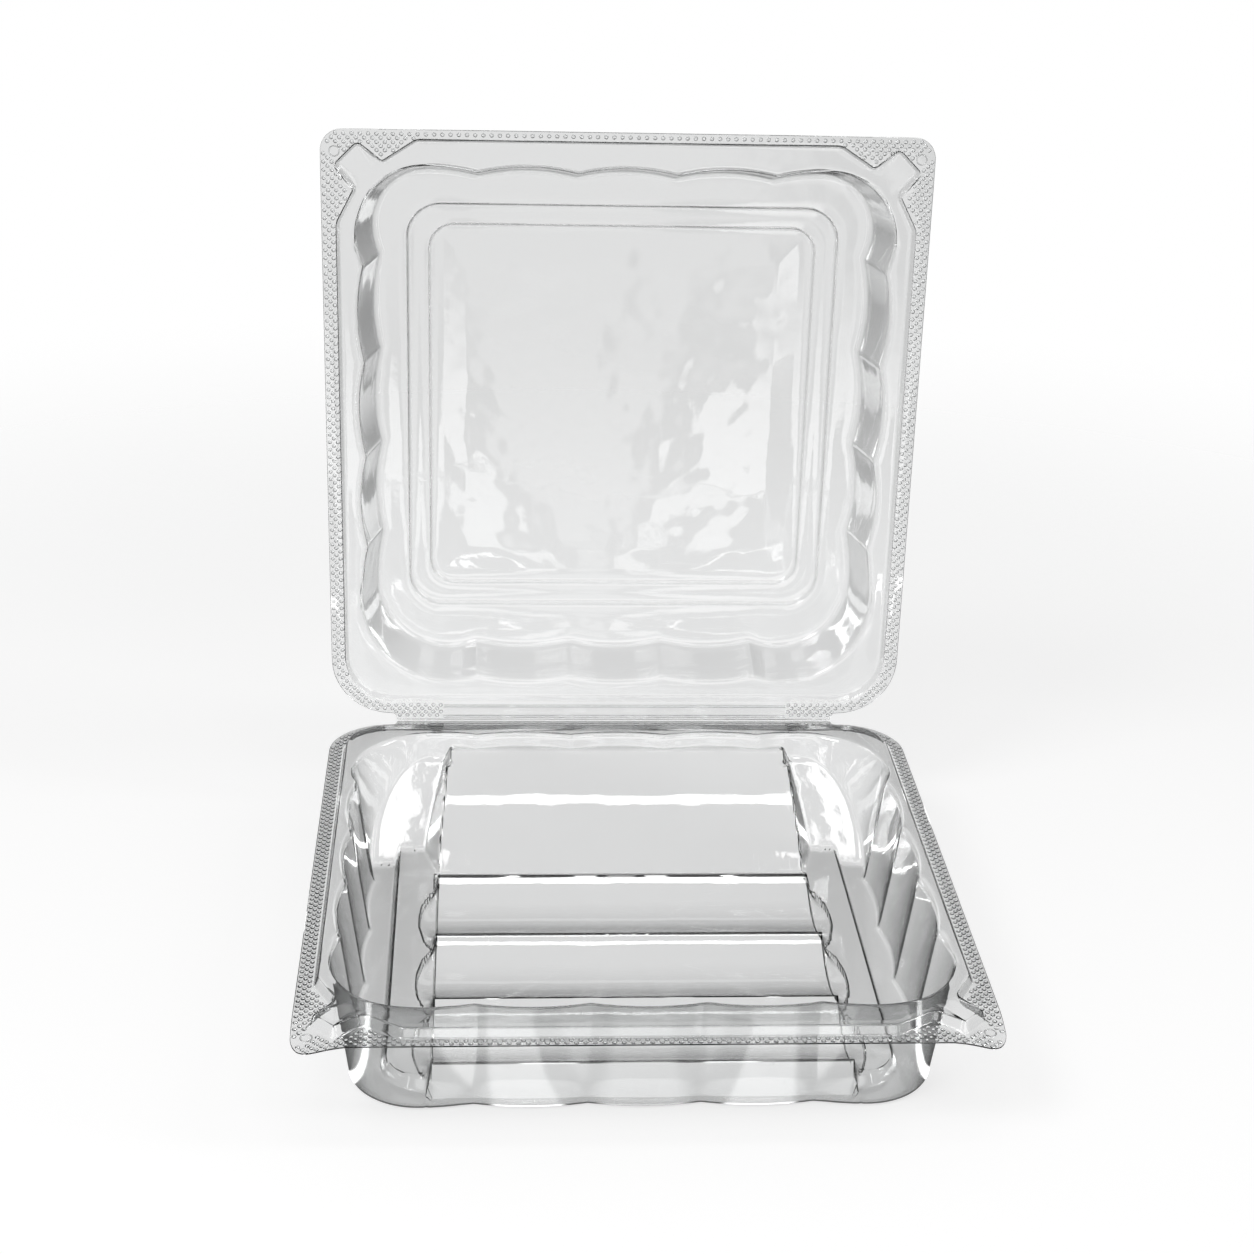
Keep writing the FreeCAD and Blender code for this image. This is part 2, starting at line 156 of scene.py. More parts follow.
def rounded_outline(corners):
    """Dense points along corners (x, v, radius) with tangent arcs, and the weight of each step."""
    pieces, last = [], None
    for i, (x, v, radius) in enumerate(corners):
        start = end = here = np.array([x, v], float)
        arc = None
        if radius > 0:
            before, after = unit(np.array([corners[i - 1][:2], corners[i + 1][:2]]) - here)
            half = math.acos(np.clip(before @ after, -1, 1)) / 2
            reach = radius / math.tan(half)
            start, end = here + before * reach, here + after * reach
            middle = before + after
            centre = here + middle / np.linalg.norm(middle) * radius / math.sin(half)
            first = math.atan2(*(start - centre)[::-1])
            turn = math.atan2(*(end - centre)[::-1]) - first
            turn = (turn + math.pi) % (2 * math.pi) - math.pi
            arc = centre + radius * unit_arc(first + turn * np.linspace(0, 1, 17))
        if last is not None and math.dist(last, start) > TINY:
            pieces.append((points_line(last, start), 1.0))
        if arc is not None:
            pieces.append((arc, SMALL_ARC_WEIGHT if radius < SMALL_ARC else ARC_WEIGHT))
        last = end
    return joined(pieces)


def joined(pieces):
    """One list of points with its running weighted length, from pieces that follow each other."""
    points, travel = [pieces[0][0][0]], [0.0]
    for piece, weight in pieces:
        for point in piece[1:]:
            step = math.dist(point, points[-1])
            if step > 1e-9:
                points.append(point)
                travel.append(travel[-1] + step * weight)
    return np.array(points), np.array(travel)


def spread(outline, anchors):
    """HALF_COUNT + 1 points of an outline: each anchor (index, point) puts that index at the
    nearest place of the outline, and the points between two anchors lie evenly."""
    points, travel = outline
    places = []
    for index, target in anchors:
        nearest = np.argmin(np.hypot(*(points - np.array(target)).T))
        places.append((index, travel[nearest]))
    wanted = np.interp(np.arange(HALF_COUNT + 1), *zip(*places))
    return np.stack([np.interp(wanted, travel, points[:, k]) for k in (0, 1)], 1)


def spaced(start, end, count, fine_places, fine_width, fine_share):
    """count + 1 values from start to end that crowd together around the fine places."""
    dense = np.linspace(start, end, 4000)
    density = np.ones_like(dense)
    for place in fine_places:
        density += fine_share * np.exp(-((dense - place) / fine_width) ** 2)
    travel = np.concatenate([[0], np.cumsum(density[1:] * np.abs(np.diff(dense)))])
    return np.interp(np.linspace(0, travel[-1], count + 1), travel, dense)


def offset(outline, distance):
    """A full or half outline moved sideways by distance, outward from the pack's middle."""
    ahead = np.roll(outline, -1, axis=0) - outline
    ahead[-1] = ahead[-2]
    behind = outline - np.roll(outline, 1, axis=0)
    behind[0] = behind[1]
    along = unit(unit(ahead) + unit(behind))
    outward = np.stack([-along[:, 1], along[:, 0]], 1)
    outward[0], outward[-1] = (0, 1), (0, -1)
    return outline + outward * distance


def flute_depth(length, lead_in, lead_out, travel):
    """How far the wall stands in at each place along a straight side of three flutes."""
    pitch = (length - lead_in - lead_out) / 3
    depth = np.where(travel < lead_in, (travel / lead_in) ** 2, 0)
    depth = np.where(travel > length - lead_out, ((length - travel) / lead_out) ** 2, depth)
    inside = (travel >= lead_in) & (travel <= length - lead_out)
    phase = ((travel - lead_in) / pitch) % 1.0
    return FLUTE_BULGE * np.where(inside, (2 * phase - 1) ** 2, depth)


def wall_outline(wall, inset):
    """Half outline of a fluted wall, with its running length, and its cusps and corner places."""
    side, front, rear = wall["side"] - inset, wall["front"] - inset, wall["rear"] + inset
    front_radius, rear_radius = wall["front_radius"] - inset, wall["rear_radius"] - inset
    front_x, rear_x = side - front_radius, side - rear_radius
    front_v, rear_v = front - front_radius, rear + rear_radius
    pieces, keys = [], []

    def side_piece(start, end, inward, length, lead_in, lead_out, first, last):
        start, end, inward = np.array(start), np.array(end), np.array(inward)
        count = max(8, int(abs(last - first) / 0.2))
        travel = np.linspace(first, last, count + 1)
        smooth = [flute_depth(length, lead_in, lead_out, np.clip(travel + shift, 0, length))
                  for shift in np.linspace(-1, 1, 7) * CUSP_ROUNDING]
        depth = np.mean(smooth, axis=0)
        depth[[0, -1]] = [0 if place in (0, length) else value for place, value in
                          ((first, depth[0]), (last, depth[-1]))]
        share = ((travel - first) / (last - first))[:, None]
        pieces.append((mix(start, end, share) + inward * depth[:, None], 1.0))
        pitch = (length - lead_in - lead_out) / 3
        cusps = [lead_in + k * pitch for k in range(4)]
        if first > last:
            cusps = cusps[::-1]
        for cusp in cusps:
            if min(first, last) < cusp < max(first, last):
                at = (cusp - first) / (last - first)
                keys.append(tuple(mix(start, end, at) + inward * FLUTE_BULGE))

    def corner_piece(centre, radius, first_angle, last_angle):
        arc = np.array(centre) + radius * unit_arc(np.linspace(first_angle, last_angle, 49))
        pieces.append((arc, 1.0))
        keys.extend([tuple(arc[0]), tuple(arc[24]), tuple(arc[48])])

    keys.append((0.0, front))
    full = 2 * front_x
    side_piece((0, front), (front_x, front), (0, -1), full, wall["front_lead"], wall["front_lead"],
               front_x, full)
    corner_piece((front_x, front_v), front_radius, math.pi / 2, 0)
    side_length = front_v - rear_v
    side_piece((side, front_v), (side, rear_v), (-1, 0), side_length, wall["side_front_lead"],
               wall["side_rear_lead"], 0, side_length)
    corner_piece((rear_x, rear_v), rear_radius, 0, -math.pi / 2)
    full = 2 * rear_x
    side_piece((rear_x, rear), (0, rear), (0, 1), full, wall["rear_lead"], wall["rear_lead"],
               0, rear_x)
    keys.append((0.0, rear))
    return joined(pieces), keys


def rounded_path(stations, radii, spans, bend_steps):
    """Loops along the polyline through the stations, its corners rounded by tangent arcs."""
    bends = [1, *radii, 1]
    room = [SHARED_ROOM if min(bends[k:k + 2]) > 0 else OWN_ROOM for k in range(len(stations) - 1)]
    loops = [stations[0]]
    last = stations[0]
    for k in range(1, len(stations)):
        here = start = end = stations[k]
        bend = []
        if k < len(stations) - 1 and radii[k - 1] > 0:
            back, ahead = stations[k - 1] - here, stations[k + 1] - here
            back_length = np.linalg.norm(back, axis=1)[:, None]
            ahead_length = np.linalg.norm(ahead, axis=1)[:, None]
            back, ahead = back / back_length, ahead / ahead_length
            turn = math.pi - np.arccos(np.clip((back * ahead).sum(1), -1, 1))[:, None]
            reach = np.minimum(radii[k - 1] * np.tan(turn / 2),
                               np.minimum(back_length * room[k - 1], ahead_length * room[k]))
            start, end = here + back * reach, here + ahead * reach
            weight = np.cos(turn / 2)
            for u in np.linspace(0, 1, bend_steps[k - 1] + 1)[1:]:
                near, middle, far = (1 - u) ** 2, 2 * u * (1 - u) * weight, u ** 2
                bend.append((near * start + middle * here + far * end) / (near + middle + far))
        loops += [mix(last, start, u) for u in np.linspace(0, 1, spans[k - 1] + 1)[1:]]
        loops += bend
        last = end
    return loops


def lug_gate(grid, ledge, wall):
    """A loop of the flat ledge just inside its outer loop: its points in the lug's neck crowd
    together, so that no line from the lug to the wall leaves the ledge."""
    gate = mix(ledge, wall, GATE_SHARE)
    first, last = grid.across - LUG_NECK_STEPS, grid.across + LUG_NECK_STEPS
    place = np.linspace(-1, 1, 2 * LUG_NECK_STEPS + 1)
    share = ((1 + np.sign(place) * np.abs(place) ** GATE_CROWDING) / 2)[:, None]
    gate[first:last + 1] = mix(gate[first], gate[last], share)
    return gate


def with_height(outline, height):
    return np.column_stack([outline, np.broadcast_to(height, len(outline))])


def both_sides(half):
    """The right half of a loop and its mirror image, as one closed loop."""
    return np.concatenate([half, half[-2:0:-1] * np.array([-1, 1, 1])])


class Grid:
    """Mesh lines of the middle of a half: x lines from the middle out, v lines from front to rear.

    Around it, a loop runs straight up to index straight_front, turns its front corner up to
    side_start, runs straight to side_end and turns its rear corner up to straight_rear.
    """

    def __init__(self, x_lines, v_lines, front_count, side_counts, rear_count):
        self.x, self.v = x_lines, v_lines
        self.across, self.along = len(x_lines) - 1, len(v_lines) - 1
        self.corner = self.across + self.along
        self.straight_front = front_count
        self.side_start, self.side_end = (self.across + count for count in side_counts)
        self.straight_rear = HALF_COUNT - rear_count

    def boundary(self):
        front = [(x, self.v[0]) for x in self.x]
        side = [(self.x[-1], v) for v in self.v[1:]]
        rear = [(x, self.v[-1]) for x in self.x[-2::-1]]
        return np.array(front + side + rear)

    def index_front(self, x):
        return int(np.argmin(np.abs(self.x - x)))

    def index_side(self, v):
        return self.across + int(np.argmin(np.abs(self.v - v)))

    def index_rear(self, x):
        return HALF_COUNT - self.index_front(x)


def wall_loop(wall, grid, inset):
    """One loop of a fluted wall whose cusps keep the same index at every height."""
    outline, keys = wall_outline(wall, inset)
    _, base = wall_outline(wall, 0)
    side, front, rear = wall["side"], wall["front"], wall["rear"]
    anchors = []
    for key, (x, v) in zip(keys, base):
        if v > front - wall["front_radius"] + TINY and x > side - wall["front_radius"] + TINY:
            index = grid.across
        elif v < rear + wall["rear_radius"] - TINY and x > side - wall["rear_radius"] + TINY:
            index = grid.corner
        elif x > side - FLUTE_BULGE - TINY:
            index = min(max(grid.index_side(v), grid.across + CORNER_STEPS),
                        grid.corner - CORNER_STEPS)
        elif v > (front + rear) / 2:
            index = min(grid.index_front(x), grid.across - CORNER_STEPS)
        else:
            index = max(grid.index_rear(x), grid.corner + CORNER_STEPS)
        anchors.append((index, key))
    return spread(outline, anchors)


def flange_loop(grid):
    """The edge of the flange, which ends at the hinge line between two rounded rear corners."""
    hinge_end = HALF_WIDTH - HINGE_CORNER - NECK_FILLET
    outline = rounded_outline([
        (0, REACH, 0), (HALF_WIDTH, REACH, FRONT_CORNER), (HALF_WIDTH, HINGE_NECK, HINGE_CORNER),
        (hinge_end, HINGE_NECK, NECK_FILLET), (hinge_end, HINGE_EDGE, 0), (0, HINGE_EDGE, 0)])
    corner, rear_corner = FRONT_CORNER * CORNER_CUT, HINGE_CORNER * CORNER_CUT
    return spread(outline, [
        (0, (0, REACH)), (grid.index_front(ACROSS_ANCHOR), (ACROSS_ANCHOR, REACH)),
        (grid.across - EDGE_CORNER_STEPS, (HALF_WIDTH - FRONT_CORNER, REACH)),
        (grid.across, (HALF_WIDTH - corner, REACH - corner)),
        (grid.across + EDGE_CORNER_STEPS, (HALF_WIDTH, REACH - FRONT_CORNER)),
        *[(grid.index_side(v), (HALF_WIDTH, v)) for v in SIDE_ANCHORS],
        (grid.corner - CORNER_STEPS, (HALF_WIDTH, HINGE_NECK + HINGE_CORNER)),
        (grid.corner, (HALF_WIDTH - rear_corner, HINGE_NECK + rear_corner)),
        (grid.corner + HINGE_CORNER_STEPS, (HALF_WIDTH - HINGE_CORNER, HINGE_NECK)),
        (grid.corner + HINGE_END_STEPS, (hinge_end, HINGE_EDGE)),
        (grid.index_rear(ACROSS_ANCHOR), (ACROSS_ANCHOR, HINGE_EDGE)),
        (HALF_COUNT, (0, HINGE_EDGE))])


def rim_loop(grid, grow):
    """The foot of the raised rim, with its square lug in the front corner."""
    side, front, rear = HALF_WIDTH - SIDE_BAND, REACH - FRONT_BAND, HINGE_NECK + SIDE_BAND
    lug = [(HALF_WIDTH - LUG_START, front, LUG_START_RADIUS),
           (HALF_WIDTH - LUG_NECK_FAR, REACH - LUG_NECK_NEAR, LUG_FILLET),
           (HALF_WIDTH - LUG_TIP_FAR, REACH - LUG_TIP_NEAR, LUG_FILLET),
           (HALF_WIDTH - LUG_TIP_NEAR, REACH - LUG_TIP_FAR, LUG_FILLET),
           (HALF_WIDTH - LUG_NECK_NEAR, REACH - LUG_NECK_FAR, LUG_FILLET),
           (side, REACH - LUG_START, LUG_START_RADIUS)]
    outline = rounded_outline([(0, front, 0), *lug, (side, rear, RIM_CORNER), (0, rear, 0)])
    tip, rear_corner = (LUG_TIP_FAR + LUG_TIP_NEAR) / 2, RIM_CORNER * CORNER_CUT
    steps = (-LUG_FOOT_STEPS, -LUG_NECK_STEPS, -LUG_TIP_STEPS, 0,
             LUG_TIP_STEPS, LUG_NECK_STEPS, LUG_FOOT_STEPS)
    places = [*lug[:3], (HALF_WIDTH - tip, REACH - tip), *lug[3:]]
    loop = spread(outline, [
        (0, (0, front)), (grid.index_front(ACROSS_ANCHOR), (ACROSS_ANCHOR, front)),
        *[(grid.across + step, place[:2]) for step, place in zip(steps, places)],
        *[(grid.index_side(v), (side, v)) for v in SIDE_ANCHORS],
        (grid.corner - CORNER_STEPS, (side, rear + RIM_CORNER)),
        (grid.corner, (side - rear_corner, rear + rear_corner)),
        (grid.corner + CORNER_STEPS, (side - RIM_CORNER, rear)),
        (grid.index_rear(ACROSS_ANCHOR), (ACROSS_ANCHOR, rear)), (HALF_COUNT, (0, rear))])
    return offset(loop, grow) if grow else loop


def smooth_max(one, two, blend):
    share = np.clip(0.5 + 0.5 * (one - two) / blend, 0, 1)
    return mix(two, one, share) + blend * share * (1 - share)


def smooth_min(one, two, blend):
    return -smooth_max(-one, -two, blend)


def outside_distance(x, v, side, front, corner):
    """Signed distance from a rounded front outline that is open at the rear; positive outside."""
    over_x, over_v = np.abs(x) - (side - corner), v - (front - corner)
    outer = np.hypot(np.maximum(over_x, 0), np.maximum(over_v, 0))
    return outer + np.minimum(np.maximum(over_x, over_v), 0) - corner


def crest_lines():
    """Where the three crests stand across the floor, and its front edge."""
    return [FIRST_CREST + k * TROUGH_PITCH for k in range(3)] + [FLOOR_FRONT + CREST_LIP]


def ridge_level(v, floor, crest):
    """Height along the crests and troughs, and how far each place lies inside a trough, 0 to 1."""
    crests = crest_lines()
    level, lens = np.full_like(v, floor), np.zeros_like(v)
    for start, end in zip(crests, crests[1:]):
        middle, chord = (start + end) / 2, (end - start) / 2
        radius = (chord ** 2 + TROUGH_DIP ** 2) / (2 * TROUGH_DIP)
        away = np.abs(v - middle)
        hollow = crest - TROUGH_DIP + radius - np.sqrt(np.maximum(radius ** 2 - away ** 2, 0))
        level = np.where(away <= chord, hollow, level)
        lens = np.where(away <= chord + TROUGH_EDGE, np.maximum(1 - (away / chord) ** 2, 0), lens)
    climb = (v - RAMP_FOOT_REACH) / (crests[0] - RAMP_FOOT_REACH)
    rise = floor + (crest - floor) * (climb - CLIMB_SAG * climb * (1 - climb))
    level = np.where((v < crests[0]) & (v > RAMP_FOOT_REACH), rise, level)
    level = np.where(v >= crests[-1], crest - FRONT_FACE_SLOPE * (v - crests[-1]), level)
    for line in crests:
        near = np.clip(1 - np.abs(v - line) / CREST_FLAT, 0, 1)
        level = level - CREST_DULL * near ** 2
    return level, lens


def ramp_level(x, v, floor):
    """Height of the rear ramp, with its shoulders falling off to both sides."""
    share = np.clip((v - RAMP_TOP_REACH) / (RAMP_FOOT_REACH - RAMP_TOP_REACH), -0.2, 1)
    ramp = -RAMP_TOP_DROP + (floor + RAMP_TOP_DROP) * share + 4 * RAMP_BOW * share * (1 - share)
    behind = -RAMP_TOP_DROP + RAMP_LIP_SLOPE * (RAMP_TOP_REACH - v)
    ramp = np.where(v < RAMP_TOP_REACH, behind, ramp)
    ramp = smooth_min(ramp, RAMP_LIP - RAMP_TOP_DROP, RAMP_BEND)
    side = RAMP_TOP_SIDE + (RAMP_FOOT_SIDE - RAMP_TOP_SIDE) * np.clip(share, 0, 1)
    ramp = smooth_min(ramp, ramp - RAMP_SIDE_SLOPE * (x - side), RAMP_SHOULDER)
    return np.where(v > RAMP_FOOT_REACH + 2, floor - BURIED, ramp)


def tray_height(x, v):
    """Height of the food side of the tray's floor."""
    x, v = np.abs(np.asarray(x, float)), np.asarray(v, float)
    foot, floor, crest = SHEET - TRAY_DEPTH, FLOOR_RISE - TRAY_DEPTH, CREST_RISE - TRAY_DEPTH
    beyond = outside_distance(x, v, FLOOR_SIDE, FLOOR_FRONT, FLOOR_CORNER)
    riser = floor - FLOOR_RISE * beyond / RISER_RUN
    base = smooth_max(smooth_min(floor, riser, RISER_BEND), foot, RISER_BEND)

    level, lens = ridge_level(v, floor, crest)
    ridge = np.where(v > RAMP_FOOT_REACH, level, floor - BURIED)
    end_run = RIDGE_END_RUN + TROUGH_BULGE * lens
    out = x - CREST_END
    over = np.clip(out / end_run, 0, 1)
    end_face = mix(ridge - END_CREASE * np.clip(out / CREASE_RUN, 0, 1), floor - END_STEP, over)
    body = np.where(out > 0, end_face, ridge)
    body = np.where(out > end_run, floor - BURIED, body)
    on_ridge = (out < end_run) & (v > RAMP_FOOT_REACH) & (beyond < 0)
    base = np.where(on_ridge, np.minimum(base, np.maximum(body, floor - RIDGE_TUCK)), base)
    pocket = -POCKET_DROP - POCKET_SLOPE * (v - RAMP_TOP_REACH)
    pocket = smooth_min(pocket, POCKET_TOP, POCKET_BEND)

    height = smooth_max(base, body, RIDGE_BEND)
    height = smooth_max(height, pocket, RAMP_BEND)
    return smooth_max(height, ramp_level(x, v, floor), RAMP_BEND)


def ring_outline(grid, side, front, rear, front_corner, rear_start, rear_side, roundness=1.0):
    """A loop around the middle of a half whose straight stretches follow the grid's lines."""
    points = np.zeros((HALF_COUNT + 1, 2))
    index = np.arange(HALF_COUNT + 1)
    front_x, front_v = side - front_corner, front - front_corner

    def turn(first, last):
        angle = math.pi / 2 * (index[first:last + 1] - first) / (last - first)
        return np.cos(angle), np.sin(angle)

    first, last = grid.straight_front, grid.side_start
    points[:first + 1, 0] = grid.x[:first + 1] * front_x / grid.x[first]
    points[:first + 1, 1] = front
    ahead, across = turn(first, last)
    points[first:last + 1, 0] = front_x + front_corner * across
    points[first:last + 1, 1] = front_v + front_corner * ahead
    first, last = grid.side_start, grid.side_end
    lines = grid.v[first - grid.across:last - grid.across + 1]
    points[first:last + 1, 0] = side
    points[first:last + 1, 1] = (front_v + (lines - lines[0]) * (rear_start - front_v)
                                 / (lines[-1] - lines[0]))
    first, last = grid.side_end, grid.straight_rear
    across, back = turn(first, last)
    points[first:last + 1, 0] = rear_side + (side - rear_side) * np.maximum(across, 0) ** roundness
    points[first:last + 1, 1] = rear_start - (rear_start - rear) * back ** roundness
    lines = grid.x[HALF_COUNT - last::-1]
    points[last:, 0] = lines * rear_side / lines[0]
    points[last:, 1] = rear
    return points


def corner_droop(outline):
    """The front corners of the tray's thin flange hang a little."""
    from_corner = np.hypot(HALF_WIDTH - outline[:, 0], REACH - outline[:, 1])
    return -DROOP * np.clip(1 - from_corner / DROOP_REACH, 0, 1) ** DROOP_CURVE


def grid_lines(stops, counts):
    """Lines from the first stop to the last, evenly spaced between each stop and the next."""
    parts = [np.linspace(*stretch) for stretch in zip(stops, stops[1:], counts)]
    return np.concatenate([parts[0], *[part[1:] for part in parts[1:]]])


def tray_loops():
    """Loops of the tray's food side from the flange's edge in to the grid of the floor."""
    inner_x = FLOOR_SIDE - FLOOR_CORNER
    x_lines = grid_lines((0, *FRONT_CUSPS, 60.6, CREST_END, inner_x, 71.5), (13, 24, 5, 6, 3, 25))
    front_start = FLOOR_FRONT + FLOOR_EASE - FLOOR_CORNER
    v_lines = np.concatenate([
        np.linspace(179, front_start, 25),
        spaced(front_start, 41, 100, crest_lines()[:3] + [RAMP_FOOT_REACH], 1.6, 2.6)[1:],
        np.linspace(41, 26.5, 17)[1:]])
    grid = Grid(x_lines, v_lines, front_count=46, side_counts=(24, 124), rear_count=54)
    edge, rim = flange_loop(grid), rim_loop(grid, 0)
    ledge, top = offset(rim, -RIM_DRAFT), wall_loop(TRAY_WALL, grid, 0)
    bottom = wall_loop(TRAY_WALL, grid, TRAY_WALL["draft"])

    def wall_at(height):
        return mix(top, bottom, ((RIM_RISE - height) / (RIM_RISE + TRAY_DEPTH))[:, None])

    def on_floor(outline):
        return np.column_stack([outline, tray_height(*outline.T)])

    def ring(out):
        inward = (RING_OUT - out) / RING_RUN
        return ring_outline(grid, FLOOR_SIDE + out, FLOOR_FRONT + FLOOR_EASE + out,
                            RING_REAR + RING_PULL * inward, FLOOR_CORNER + out, 36.0, 68.5,
                            1 - 0.5 * inward)

    low, high = np.full(HALF_COUNT + 1, -TRAY_DEPTH), np.full(HALF_COUNT + 1, RIM_RISE)
    for _ in range(40):
        middle = (low + high) / 2
        inside = tray_height(*wall_at(middle).T) > middle
        low, high = np.where(inside, middle, low), np.where(inside, high, middle)
    foot = wall_at(middle)
    near = on_floor(mix(foot, ring(RING_OUT), 0.38))
    loops = rounded_path(
        [with_height(edge, corner_droop(edge)), with_height(rim, corner_droop(rim)),
         with_height(ledge, RIM_RISE), with_height(lug_gate(grid, ledge, top), RIM_RISE),
         with_height(top, RIM_RISE), with_height(foot, middle), near],
        [BEND_RADIUS, BEND_RADIUS, 0, ROLL_RADIUS, FOOT_RADIUS],
        [2, 1, 1, 2, 5, 1], [3, 3, 0, 6, 5])
    inner = [mix(near[:, :2], ring(RING_OUT), 0.5), *[ring(out) for out in RINGS]]
    inner += [mix(inner[-1], grid.boundary(), share) for share in (0.33, 0.67)]
    return grid, loops + [on_floor(outline) for outline in inner], tray_height


def lid_loops():
    """Loops of the lid's food side, drawn closed, from the flange's edge in to the panel."""
    panel_side = STEP_SIDE - PANEL_MARGIN
    panel_front, panel_rear = STEP_FRONT - PANEL_MARGIN, STEP_REAR + PANEL_MARGIN
    inner_x, edge_x = panel_side - PANEL_CORNER, panel_side - PANEL_EDGE
    edge_front, edge_rear = panel_front - PANEL_EDGE, panel_rear + PANEL_EDGE
    x_lines = grid_lines((0, *FRONT_CUSPS, inner_x, edge_x), (13, 24, 12, 25))
    v_lines = grid_lines(
        (edge_front, panel_front - PANEL_CORNER, panel_rear + PANEL_CORNER, edge_rear), (25, 93, 25))
    grid = Grid(x_lines, v_lines, front_count=46, side_counts=(24, 116), rear_count=46)

    def step_pair(margin, corner):
        side, front, rear = STEP_SIDE - margin, STEP_FRONT - margin, STEP_REAR + margin
        for inset in (0, PANEL_DRAFT):
            round_to = corner - inset
            yield ring_outline(grid, side - inset, front - inset, rear + inset, round_to,
                               rear + inset + round_to, side - inset - round_to)

    rim = rim_loop(grid, NEST_GAP)
    ledge, top = offset(rim, -RIM_DRAFT), wall_loop(LID_WALL, grid, 0)
    shelf = CLOSED_GAP + RIM_RISE
    ring_height = shelf + LID_WALL_HEIGHT
    step_height, panel_height = ring_height + STEP_RISE, ring_height + STEP_RISE + PANEL_RISE
    outlines = [flange_loop(grid), rim, ledge, lug_gate(grid, ledge, top), top,
                wall_loop(LID_WALL, grid, LID_WALL["draft"]), *step_pair(0, STEP_CORNER),
                *step_pair(PANEL_MARGIN, PANEL_CORNER), grid.boundary()]
    heights = [CLOSED_GAP, CLOSED_GAP, shelf, shelf, shelf, ring_height, ring_height,
               step_height, step_height, panel_height, panel_height]
    loops = rounded_path(
        [with_height(outline, height) for outline, height in zip(outlines, heights)],
        [BEND_RADIUS, BEND_RADIUS, 0, ROLL_RADIUS, FOOT_RADIUS, *[STEP_BEND] * 4],
        [2, 1, 1, 2, 5, 3, 1, 2, 1, 2], [3, 3, 0, 6, 5, 3, 3, 3, 3])

    def panel_level(x, v):
        from_edge = np.minimum(edge_x - np.abs(x), np.minimum(edge_front - v, v - edge_rear))
        ripple = np.array([sum(height * noise.noise(Vector((a / width, b / width, place)))
                               for height, width, place in RIPPLES) for a, b in zip(x, v)])
        return panel_height + (ripple - PANEL_SAG) * np.clip(from_edge / PANEL_FADE, 0, 1)

    return grid, loops, panel_level


def ring_quads(here, ahead, count):
    """Quads from the loop of points that starts at index here to the one that starts at ahead."""
    index = np.arange(count)
    following = (index + 1) % count
    return np.stack([here + index, ahead + index, ahead + following, here + following], 1)


def surface(grid, half_loops, height):
    """Points and quads of one skin: closed loops from the edge in, then the grid in the middle."""
    loops = [both_sides(loop) for loop in half_loops]
    count = 2 * HALF_COUNT
    quads = [ring_quads(k * count, (k + 1) * count, count) for k in range(len(loops) - 1)]
    columns, rows = 2 * grid.across + 1, grid.along + 1
    table = np.full((rows, columns), -1)
    base = (len(loops) - 1) * count
    for i in range(HALF_COUNT + 1):
        if i <= grid.across:
            row, column = 0, i
        elif i <= grid.corner:
            row, column = i - grid.across, grid.across
        else:
            row, column = grid.along, HALF_COUNT - i
        table[row, grid.across + column] = base + i
        table[row, grid.across - column] = base + (count - i) % count
    x_full = np.concatenate([-grid.x[::-1], grid.x[1:]])
    inner = np.array([(x, v) for v in grid.v[1:-1] for x in x_full[1:-1]])
    table[1:-1, 1:-1] = base + count + np.arange(len(inner)).reshape(rows - 2, columns - 2)
    points = np.concatenate([*loops, np.column_stack([inner, height(*inner.T)])])
    quads.append(np.stack([table[:-1, :-1].ravel(), table[1:, :-1].ravel(),
                           table[1:, 1:].ravel(), table[:-1, 1:].ravel()], 1))
    return points, np.concatenate(quads), count


def point_normals(points, quads):
    one = points[quads[:, 2]] - points[quads[:, 0]]
    two = points[quads[:, 3]] - points[quads[:, 1]]
    facing = np.cross(one, two)
    normals = np.zeros_like(points)
    for k in range(4):
        np.add.at(normals, quads[:, k], facing)
    return normals / np.maximum(np.linalg.norm(normals, axis=1), 1e-12)[:, None]


def sheet_shell(points, quads, edge_count, outward):
    """Closed sheet: the food side, the other side at SHEET from it, and the edge between them."""
    normals = point_normals(points, quads)
    if np.sign(normals[-1][2]) != np.sign(outward):
        normals = -normals
    back = points + normals * SHEET
    count = len(points)
    rim, inner = points[:edge_count], points[edge_count:2 * edge_count]
    cut = (rim + back[:edge_count]) / 2 + unit(rim - inner) * CUT_EDGE
    edge, back_edge = (ring_quads(here, ahead, edge_count) for here, ahead in
                       ((0, 2 * count), (2 * count, count)))
    turned = [0, 3, 2, 1]
    faces = np.concatenate([quads, quads[:, ::-1] + count, edge[:, turned], back_edge[:, turned]])
    return np.concatenate([points, back, cut]), faces


def tray_place(points):
    x, v, z = points.T
    return np.stack([x, HINGE_Y - v, TRAY_DEPTH + z], 1) * MM


def lid_place(points):
    x, v, z = points.T
    return np.stack([x, HINGE_Y + z - HINGE_Z, TRAY_DEPTH + HINGE_Z + v], 1) * MM


def add_object(name, data):
    obj = bpy.data.objects.new(name, data)
    bpy.context.scene.collection.objects.link(obj)
    return obj


def add_mesh(name, points, faces):
    mesh = bpy.data.meshes.new(name)
    mesh.from_pydata(points, [], faces)
    return add_object(name, mesh)


def mesh_object(name, points, faces, material):
    obj = add_mesh(name, points.tolist(), faces if isinstance(faces, list) else faces.tolist())
    mesh = obj.data
    mesh.validate()
    mesh.polygons.foreach_set("use_smooth", [True] * len(mesh.polygons))
    mesh.set_sharp_from_angle(angle=math.radians(SHARP_ANGLE))
    mesh.materials.append(material)
    face_outward(mesh)
    return obj


